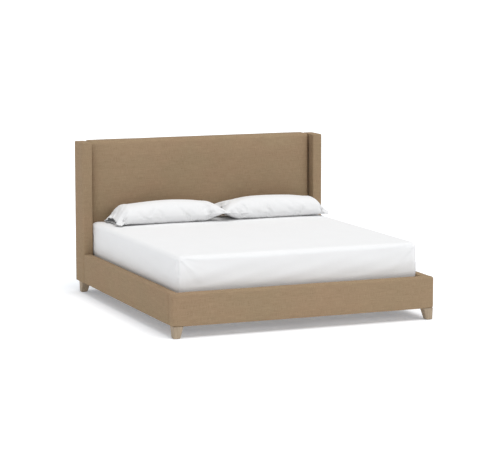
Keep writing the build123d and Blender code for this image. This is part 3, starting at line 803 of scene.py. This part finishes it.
def arch_row_tree():
    """Small wire arches in a row along a path: staples, or stitches.

    The path's points say which way is outward, in an attribute of that name."""
    tree = bpy.data.node_groups.new("arch_row", "GeometryNodeTree")
    sockets = tree.interface
    sockets.new_socket("Path", in_out="INPUT", socket_type="NodeSocketGeometry")
    for label in ("Pitch", "Arch length", "Arch height", "Wire radius", "Turn"):
        sockets.new_socket(label, in_out="INPUT", socket_type="NodeSocketFloat")
    sockets.new_socket("Seed", in_out="INPUT", socket_type="NodeSocketInt")
    sockets.new_socket("Finish", in_out="INPUT", socket_type="NodeSocketMaterial")
    sockets.new_socket("Arches", in_out="OUTPUT", socket_type="NodeSocketGeometry")
    given = tree.nodes.new("NodeGroupInput").outputs
    half = math_node(tree, "MULTIPLY", given["Arch length"], 0.5)
    back_half = math_node(tree, "MULTIPLY", given["Arch length"], -0.5)
    start = put(tree, "ShaderNodeCombineXYZ", {"X": back_half}).outputs[0]
    end = put(tree, "ShaderNodeCombineXYZ", {"X": half}).outputs[0]
    lift = put(tree, "ShaderNodeCombineXYZ", {"Z": given["Arch height"]}).outputs[0]
    arch = put(
        tree,
        "GeometryNodeCurvePrimitiveBezierSegment",
        {"Resolution": 5, "Start": start, "Start Handle": lift, "End Handle": lift, "End": end},
        mode="OFFSET",
    )
    wire = put(tree, "GeometryNodeCurvePrimitiveCircle", {"Resolution": 6, "Radius": given["Wire radius"]})
    bar = put(
        tree,
        "GeometryNodeCurveToMesh",
        {"Curve": arch.outputs[0], "Profile Curve": wire.outputs[0], "Fill Caps": True},
    )
    line = put(tree, "GeometryNodeMeshToCurve", {"Mesh": given["Path"]})
    stations = put(
        tree,
        "GeometryNodeCurveToPoints",
        {"Curve": line.outputs[0], "Length": given["Pitch"]},
        mode="LENGTH",
    )
    outward = put(tree, "GeometryNodeInputNamedAttribute", {"Name": "outward"}, data_type="FLOAT_VECTOR")
    along = put(
        tree, "FunctionNodeAlignRotationToVector", {"Vector": stations.outputs["Tangent"]}, axis="X"
    )
    upright = put(
        tree,
        "FunctionNodeAlignRotationToVector",
        {"Rotation": along.outputs[0], "Vector": outward.outputs["Attribute"]},
        axis="Z",
        pivot_axis="X",
    )
    most = given["Turn"]
    least = math_node(tree, "MULTIPLY", most, -1.0)
    skew = tree.nodes.new("FunctionNodeRandomValue")
    skew.data_type = "FLOAT"
    tree.links.new(least, skew.inputs[2])
    tree.links.new(most, skew.inputs[3])
    tree.links.new(given["Seed"], skew.inputs["Seed"])
    spin = put(tree, "ShaderNodeCombineXYZ", {"Z": skew.outputs[1]}).outputs[0]
    turned = put(
        tree,
        "FunctionNodeRotateRotation",
        {"Rotation": upright.outputs[0], "Rotate By": spin},
        rotation_space="LOCAL",
    )
    placed = put(
        tree,
        "GeometryNodeInstanceOnPoints",
        {"Points": stations.outputs[0], "Instance": bar.outputs[0], "Rotation": turned.outputs[0]},
    )
    real = put(tree, "GeometryNodeRealizeInstances", {"Geometry": placed.outputs[0]})
    finished = put(
        tree, "GeometryNodeSetMaterial", {"Geometry": real.outputs[0], "Material": given["Finish"]}
    )
    result = tree.nodes.new("NodeGroupOutput")
    tree.links.new(finished.outputs[0], result.inputs["Arches"])
    return tree


def make_arch_row(name, lines, body, material, arches):
    """lines are (points, outward) pairs, and each makes one row of arches."""
    points, edges, outward = [], [], []
    for line, way in lines:
        first = len(points)
        points += [tuple(p) for p in line]
        outward += [tuple(w) for w in np.broadcast_to(way, (len(line), 3))]
        edges += [(first + i, first + i + 1) for i in range(len(line) - 1)]
    mesh = bpy.data.meshes.new(name)
    mesh.from_pydata(points, edges, [])
    attribute = mesh.attributes.new("outward", "FLOAT_VECTOR", "POINT")
    attribute.data.foreach_set("vector", np.array(outward, np.float32).ravel())
    row = bpy.data.objects.new(name, mesh)
    bpy.context.scene.collection.objects.link(row)
    modifier = row.modifiers.new("arches", "NODES")
    modifier.node_group = ARCH_ROW
    values = {**arches, "Finish": material}
    for socket in ARCH_ROW.interface.items_tree:
        if socket.name in values:
            modifier[socket.identifier] = values[socket.name]
    apply_modifiers(row)
    smooth_shade(row)
    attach(row, body)
    return row


def make_staples():
    """Staples round the back cloth, and under the rails and the footboard."""
    low, high = node_box("headboard_back_cloth")
    left, right = low[0] + STAPLE_INSET, high[0] - STAPLE_INSET
    base, top = low[2] + STAPLE_INSET, high[2] - STAPLE_INSET
    y = high[1] - 0.2 * MM
    corners = [(left, y, base), (right, y, base), (right, y, top), (left, y, top), (left, y, base)]
    row = [(corners, (0, 1, 0))]
    make_arch_row("back_cloth_staples", row, "frame", ZINC, BACK_STAPLES)
    lines = []
    for side in ("left", "right"):
        low, high = node_box(f"side_rail_cover_{side}")
        middle = (low[0] + high[0]) / 2
        lines.append(([(middle, low[1] + 0.03, low[2]), (middle, high[1] - 0.03, low[2])], (0, 0, -1)))
    low, high = node_box("footboard_cover")
    middle = (low[1] + high[1]) / 2 + 0.012
    reach = low[0] + 0.13
    lines.append(([(reach, middle, low[2]), (-reach, middle, low[2])], (0, 0, -1)))
    make_arch_row("cover_staples", lines, "frame", ZINC, COVER_STAPLES)


# ---------------------------------------------------------------- mattress and fitted sheet

SHEET_CORNER = 52 * MM
SHEET_TOP_EDGE = 36 * MM
SHEET_BASE_EDGE = 22 * MM
SHEET_HEM = 0.125
RAIL_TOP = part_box("side_rail_cover_left")[1].z


def tuck(points, out, depth):
    """Draws the sides in where the rails stand round the mattress."""
    side = 1 - np.abs(out[:, 2])
    inside = 1 - smooth_step(points[:, 2], RAIL_TOP - 0.05, RAIL_TOP + 0.035)
    moved = points.copy()
    moved[:, :2] -= out[:, :2] * (side * inside * depth)[:, None]
    return moved


def corner_folds(points, out, low, high):
    """Pulls in the sheet: folds that fan out from each top corner, and its sewn edge."""
    amount = np.zeros(len(points))
    for number, (sx, sy) in enumerate(((-1, -1), (1, -1), (-1, 1), (1, 1))):
        tip = np.array([high[0] if sx > 0 else low[0], high[1] if sy > 0 else low[1]])
        tip = tip - np.array([sx, sy]) * SHEET_CORNER * 0.3
        flat = (points[:, :2] - tip) * np.array([sx, sy])
        drop = high[2] - 0.012 - points[:, 2]
        level = np.hypot(flat[:, 0], flat[:, 1])
        reach = np.hypot(level, drop)
        on_side = 1 - smooth_step(np.abs(out[:, 2]), 0.3, 0.8)
        fan = np.arctan2(drop, level)
        turn = np.arctan2(np.abs(flat[:, 1]), np.abs(flat[:, 0]))
        which = np.sign(flat[:, 1] - flat[:, 0])
        shape = np.exp(-reach / 0.14) * (1 - np.exp(-((reach / 0.035) ** 2)))
        side_folds = np.sin(fan * 9.0 + which * 1.3 + number) + 0.5 * np.sin(fan * 17 + which + number)
        top_folds = np.sin(turn * 8.0 + number * 2) + 0.4 * np.sin(turn * 15 + number)
        amount += shape * (on_side * side_folds * 4.2 + (1 - on_side) * top_folds * 2.2) * MM
        angle = np.degrees(np.arctan2(out[:, 1] * sy, out[:, 0] * sx))
        near = np.exp(-((level / 0.09) ** 2))
        seam = np.exp(-(((angle - 45) / 7.0) ** 2))
        pleats = np.cos(np.radians(angle - 45) * 14) * np.exp(-(((angle - 45) / 34.0) ** 2))
        amount += on_side * near * (seam * 1.6 + pleats * 1.1 * np.clip(drop / 0.1, 0, 1)) * MM
    return points + out * amount[:, None]


def sheet_surface(low, high):
    stations = [
        edge_spaced(low[0], high[0], SHEET_TOP_EDGE, 30 * MM, 7, 9 * MM, 0.2),
        edge_spaced(low[1], high[1], SHEET_TOP_EDGE, 30 * MM, 7, 9 * MM, 0.2),
        edge_spaced(low[2], high[2], SHEET_TOP_EDGE, 9 * MM, 7),
    ]
    points, faces = shell_grid(*stations)
    upper = points[:, 2] > (low[2] + high[2]) / 2
    radius = np.where(upper, SHEET_TOP_EDGE, SHEET_BASE_EDGE)
    points, out = rounded(points, low, high, radius)
    for corner in ((-1, -1), (1, -1), (-1, 1), (1, 1)):
        points = widen_corner(points, low, high, corner, SHEET_TOP_EDGE, SHEET_CORNER)
    points = crown(points, out, low, high, (3 * MM, 2.5 * MM, 3 * MM), 8.0)
    points = tuck(points, out, 9 * MM)
    return points, out, faces


def make_fitted_sheet():
    low, high = node_box("fitted_sheet")
    points, out, faces = sheet_surface(low, high)
    top = np.clip(out[:, 2], 0, 1)
    points[:, 2] += top * waves(points, 0.62, 23) * 1.3 * MM
    side = 1 - np.abs(out[:, 2])
    points += out * (side * waves(points * [1, 1, 0.35], 0.30, 29) * 1.0 * MM)[:, None]
    above_rail = smooth_step(points[:, 2], RAIL_TOP, RAIL_TOP + 0.06)
    ridges = waves(points * [0.42, 0.42, 1.7], 0.16, 37)
    points += out * (side * above_rail * ridges * 2.2 * MM)[:, None]
    points = corner_folds(points, out, low, high)
    middles = points[faces].mean(axis=1)
    under = middles[:, 2] < low[2] + 6 * MM
    inner_low, inner_high = low[:2] + SHEET_HEM, high[:2] - SHEET_HEM
    inside = ((middles[:, :2] > inner_low) & (middles[:, :2] < inner_high)).all(axis=1)
    kept = faces[~(under & inside)]
    used = np.unique(kept)
    renumber = -np.ones(len(points), int)
    renumber[used] = np.arange(len(used))
    piece = make_object("fitted_sheet_cotton", points[used], renumber[kept], SHEETING)
    wall = piece.modifiers.new("cloth_thickness", "SOLIDIFY")
    wall.thickness = 0.8 * MM
    wall.offset = -1.0
    apply_modifiers(piece)
    settle_piece(piece, "mattress", "white_cotton", "fitted_sheet")


def make_mattress():
    """The mattress in its quilted ticking."""
    low, high = node_box("fitted_sheet")
    points, out, faces = sheet_surface(low, high)
    points -= out * 5 * MM
    points[:, 2] = np.clip(points[:, 2], low[2] + 1.2 * MM, None)
    piece = make_object("mattress_ticking", points, faces, TICKING)
    settle_piece(piece, "mattress", "ticking", "mattress")


# ---------------------------------------------------------------- pillows

BLOW_FRAMES = 24
CASE_LENGTH = 1.016
CASE_WIDTH = 0.508
CUFF = 0.095
CASE_CELLS = (100, 50)
HEM_COLUMN = 9
INSERT_COLUMN = 11
INSERT_TAPER = 12
SEAM_TAPER = 3
CASE_CLOTH = 0.8 * MM
CLOTH_CLEARANCE = 1.2 * MM
INSERT_GAP = 2.5 * MM
PILLOW_SEAM = 60 * MM
CUFF_SEAM = {"left": 9 * MM, "right": 22 * MM}
PILLOW_CROWN = 178 * MM
PILLOW_FRONT = 2 * MM
PILLOW_DEPTH = 0.412
TIP_LIFT = 12 * MM
TIP_FLOAT = 0.75
BELLY_FLAT = 0.8
CUFF_REACH = {"left": 0.15, "right": 0.12}
MOUTH_RISE = {"left": 28 * MM, "right": 20 * MM}
PILLOW_ENDS = {"left": (-0.872, 0.070), "right": (0.026, 0.973)}


def open_bag(length, width, cells):
    """Two layers of cloth sewn along three edges, lying flat, open at -X."""
    nx, ny = cells
    grid_u, grid_v = np.meshgrid(np.linspace(-1, 1, nx + 1), np.linspace(-1, 1, ny + 1), indexing="ij")
    fall = (1 - grid_u**2) * (1 - grid_v**2)
    top = np.stack([grid_u * length / 2, grid_v * width / 2, 4 * MM * fall], axis=-1)
    top[0, :, 2] = 3 * MM * (1 - grid_v[0] ** 2)
    bottom = top * [1, 1, -1]
    upper = np.arange((nx + 1) * (ny + 1)).reshape(nx + 1, ny + 1)
    own = np.zeros((nx + 1, ny + 1), bool)
    own[:-1, 1:-1] = True
    lower = upper.copy()
    lower[own] = upper.size + np.arange(own.sum())
    points = np.concatenate([top.reshape(-1, 3), bottom[own]])
    up = [upper[:-1, :-1], upper[1:, :-1], upper[1:, 1:], upper[:-1, 1:]]
    down = [lower[:-1, :-1], lower[:-1, 1:], lower[1:, 1:], lower[1:, :-1]]
    faces = [np.stack(quads, axis=-1).reshape(-1, 4) for quads in (up, down)]
    return points, np.concatenate(faces), upper, lower


STUFFING = {
    "quality": 5,
    "mass": 0.25,
    "tension_stiffness": 20.0,
    "compression_stiffness": 20.0,
    "shear_stiffness": 6.0,
    "bending_stiffness": 0.3,
    "air_damping": 3.0,
    "use_pressure": True,
    "uniform_pressure_force": 4.0,
}


def blow_up(piece, group):
    """Lets cloth swell under pressure from inside, and keeps the shape it ends in."""
    cloth = piece.modifiers.new("cloth", "CLOTH")
    settings = cloth.settings
    for setting, value in STUFFING.items():
        setattr(settings, setting, value)
    settings.vertex_group_pressure = group
    settings.effector_weights.gravity = 0.0
    cloth.point_cache.frame_start = 1
    cloth.point_cache.frame_end = BLOW_FRAMES
    scene = bpy.context.scene
    scene.frame_start, scene.frame_end = 1, BLOW_FRAMES
    for step in range(1, BLOW_FRAMES + 1):
        scene.frame_set(step)
    apply_modifiers(piece)
    scene.frame_set(1)


def blown_case(name, seed):
    """A stuffed pillowcase in its own frame: its length along X, its mouth at -X."""
    points, faces, upper, lower = open_bag(CASE_LENGTH, CASE_WIDTH, CASE_CELLS)
    points[:, 2] += np.random.default_rng(seed).normal(scale=0.4 * MM, size=len(points))
    piece = make_object(name, points, faces, PILLOW_COTTON)
    group = piece.vertex_groups.new(name="filled")
    stuffed = smooth_step(points[:, 0], -CASE_LENGTH / 2 + CUFF * 0.6, -CASE_LENGTH / 2 + CUFF * 1.4)
    for number, weight in enumerate(stuffed):
        group.add([number], float(weight), "REPLACE")
    blow_up(piece, "filled")
    piece.vertex_groups.clear()
    return piece, points_of(piece), upper, lower


def lay_down(points, upper, low, side):
    """Rests a blown case on the mattress: a flat belly, raised ends and a dropped cuff."""
    span_low, span_high = points.min(axis=0), points.max(axis=0)
    share = (points - span_low) / (span_high - span_low)
    cuff = 1 - smooth_step(share[:, 0], 0.01, CUFF_REACH[side])
    tip = smooth_step(share[:, 0], 0.80, 1.0)
    seam = PILLOW_SEAM + (CUFF_SEAM[side] - PILLOW_SEAM) * cuff + TIP_LIFT * tip
    up = np.clip(points[:, 2], 0, None) / span_high[2]
    down = np.clip(-points[:, 2], 0, None) / -span_low[2]
    laid = np.empty_like(points)
    laid[:, 0] = share[:, 0]
    laid[:, 1] = low[1] + PILLOW_FRONT + share[:, 1] * PILLOW_DEPTH
    resting = (1 - (1 - np.minimum(down / BELLY_FLAT, 1)) ** 1.3) * (1 - TIP_FLOAT * tip)
    laid[:, 2] = low[2] + seam + up * (PILLOW_CROWN - PILLOW_SEAM) - (seam - 1.5 * MM) * resting
    on_top = np.zeros(len(points), bool)
    on_top[upper.ravel()] = True
    dome = np.clip(1 - (2 * share[:, 1] - 1) ** 2, 0, 1)
    shoulder = smooth_step(share[:, 0], -0.01, 0.03) * (1 - smooth_step(share[:, 0], 0.05, 0.17))
    laid[:, 2] += on_top * shoulder * dome * MOUTH_RISE[side]
    return laid


def make_insert(side, shape, upper, lower):
    """The stuffed pillow itself, sewn shut at both ends, just inside its case."""
    upper, lower = upper[INSERT_COLUMN:-1, 1:-1], lower[INSERT_COLUMN:-1, 1:-1]
    middle, half = (shape[upper] + shape[lower]) / 2, (shape[upper] - shape[lower]) / 2
    across, along = upper.shape
    columns, rows = np.arange(across), np.arange(along)
    from_ends = np.minimum(columns / INSERT_TAPER, (across - 1 - columns) / SEAM_TAPER)
    from_sides = np.minimum(rows, along - 1 - rows) / SEAM_TAPER
    inward = np.clip(np.minimum(from_ends[:, None], from_sides), 0, 1)
    half *= np.sqrt(1 - (1 - inward) ** 2)[..., None]
    half[..., 2] -= np.minimum(INSERT_GAP, half[..., 2] * 0.6)
    ring = np.arange(upper.size).reshape(across, along)
    inner = np.zeros(upper.shape, bool)
    inner[1:-1, 1:-1] = True
    under = ring.copy()
    under[inner] = ring.size + np.arange(inner.sum())
    points = np.concatenate([(middle + half).reshape(-1, 3), (middle - half)[inner]])
    way = 1 if side == "left" else -1
    up = np.stack([ring[:-1, :-1], ring[1:, :-1], ring[1:, 1:], ring[:-1, 1:]], axis=-1)
    down = np.stack([under[:-1, :-1], under[:-1, 1:], under[1:, 1:], under[1:, :-1]], axis=-1)
    faces = np.concatenate([up.reshape(-1, 4), down.reshape(-1, 4)])[:, ::way]
    insert = make_object(f"pillow_insert_{side}", points, faces, PILLOW_TICKING)
    settle_piece(insert, f"pillow_{side}", "pillow_fill", f"pillow_{side}")
    return insert


def draw_inside(insert, case):
    """Moves any point of the insert that stands out of its case back inside the cloth."""
    for _ in range(3):
        cloth = BVHTree.FromObject(case, bpy.context.evaluated_depsgraph_get())
        for vertex in insert.data.vertices:
            place, outward, _, _ = cloth.find_nearest(vertex.co)
            if (vertex.co - place).dot(outward) > -CLOTH_CLEARANCE:
                vertex.co = place - outward * CLOTH_CLEARANCE
    insert.data.update()


def hem_stitches(side, shape, upper, lower):
    """Two lines of stitches that hold the case's deep hem."""
    lines = []
    for layer, way in ((upper, 1), (lower, -1)):
        line = shape[layer[HEM_COLUMN]]
        lines.append((line[2:-2] + [0, 0, way * 0.1 * MM], (0, 0, way)))
    make_arch_row(
        f"pillowcase_stitches_{side}",
        lines,
        f"pillow_{side}",
        WHITE_THREAD,
        HEM_STITCHES,
    )


def make_pillow(side, seed):
    case, points, upper, lower = blown_case(f"pillowcase_cotton_{side}", seed)
    low = node_box(f"pillowcase_{side}")[0]
    points = lay_down(points, upper, low, side)
    if side == "right":
        points[:, 0] = 1 - points[:, 0]
        case.data.flip_normals()
    start, end = PILLOW_ENDS[side]
    points[:, 0] = start + points[:, 0] * (end - start)
    move_points(case, points)
    insert = make_insert(side, points, upper, lower)
    draw_inside(insert, case)
    wall = case.modifiers.new("cloth_thickness", "SOLIDIFY")
    wall.thickness = CASE_CLOTH
    wall.offset = -1.0
    apply_modifiers(case)
    settle_piece(case, f"pillow_{side}", "white_cotton", f"pillowcase_{side}")
    hem_stitches(side, points, upper, lower)


# ---------------------------------------------------------------- room

FLOOR_REACH = 400.0
WORLD_STRENGTH = 0.61
FLOOR_ALBEDO = 1.0
FLOOR_GLOW = 0.17
FLOOR_GLOW_COLOUR = (0.90, 1.02, 1.18, 1.0)
WORLD_COLOUR = (0.985, 0.992, 1.0, 1.0)
KEY_STRENGTH = 1.67
KEY_ANGLE = math.radians(55)
KEY_FROM = Vector((0.15, -0.30, 1.0))


def make_room():
    """A plain pale floor under soft studio light."""
    points = [(x * FLOOR_REACH, y * FLOOR_REACH, 0) for x, y in ((-1, -1), (1, -1), (1, 1), (-1, 1))]
    material, _, shader = new_material("pale_floor", 1.0, specular=0.0)
    shader.inputs["Base Color"].default_value = (FLOOR_ALBEDO, FLOOR_ALBEDO, FLOOR_ALBEDO, 1.0)
    shader.inputs["Emission Color"].default_value = FLOOR_GLOW_COLOUR
    shader.inputs["Emission Strength"].default_value = FLOOR_GLOW
    floor = make_object("studio_floor", points, [(0, 1, 2, 3)], material)
    world = bpy.data.worlds.new("studio")
    world.use_nodes = True
    back = world.node_tree.nodes["Background"]
    back.inputs["Color"].default_value = WORLD_COLOUR
    seen = put(world.node_tree, "ShaderNodeLightPath").outputs["Is Camera Ray"]
    strength = math_node(world.node_tree, "MAXIMUM", seen, WORLD_STRENGTH)
    world.node_tree.links.new(strength, back.inputs["Strength"])
    bpy.context.scene.world = world
    key = bpy.data.lights.new("overhead_key", "SUN")
    key.energy = KEY_STRENGTH
    key.angle = KEY_ANGLE
    lamp = bpy.data.objects.new("overhead_key", key)
    lamp.rotation_euler = KEY_FROM.to_track_quat("Z", "Y").to_euler()
    bpy.context.scene.collection.objects.link(lamp)
    view = bpy.context.scene.view_settings
    view.view_transform = "Standard"
    view.look = "None"


ARCH_ROW = arch_row_tree()

set_camera()
finish_cad_nodes()
make_wings()
make_side_rails()
make_footboard()
make_headboard()
make_back_cloth()
make_staples()
make_mattress()
make_fitted_sheet()
make_pillow("left", 7)
make_pillow("right", 8)
make_room()
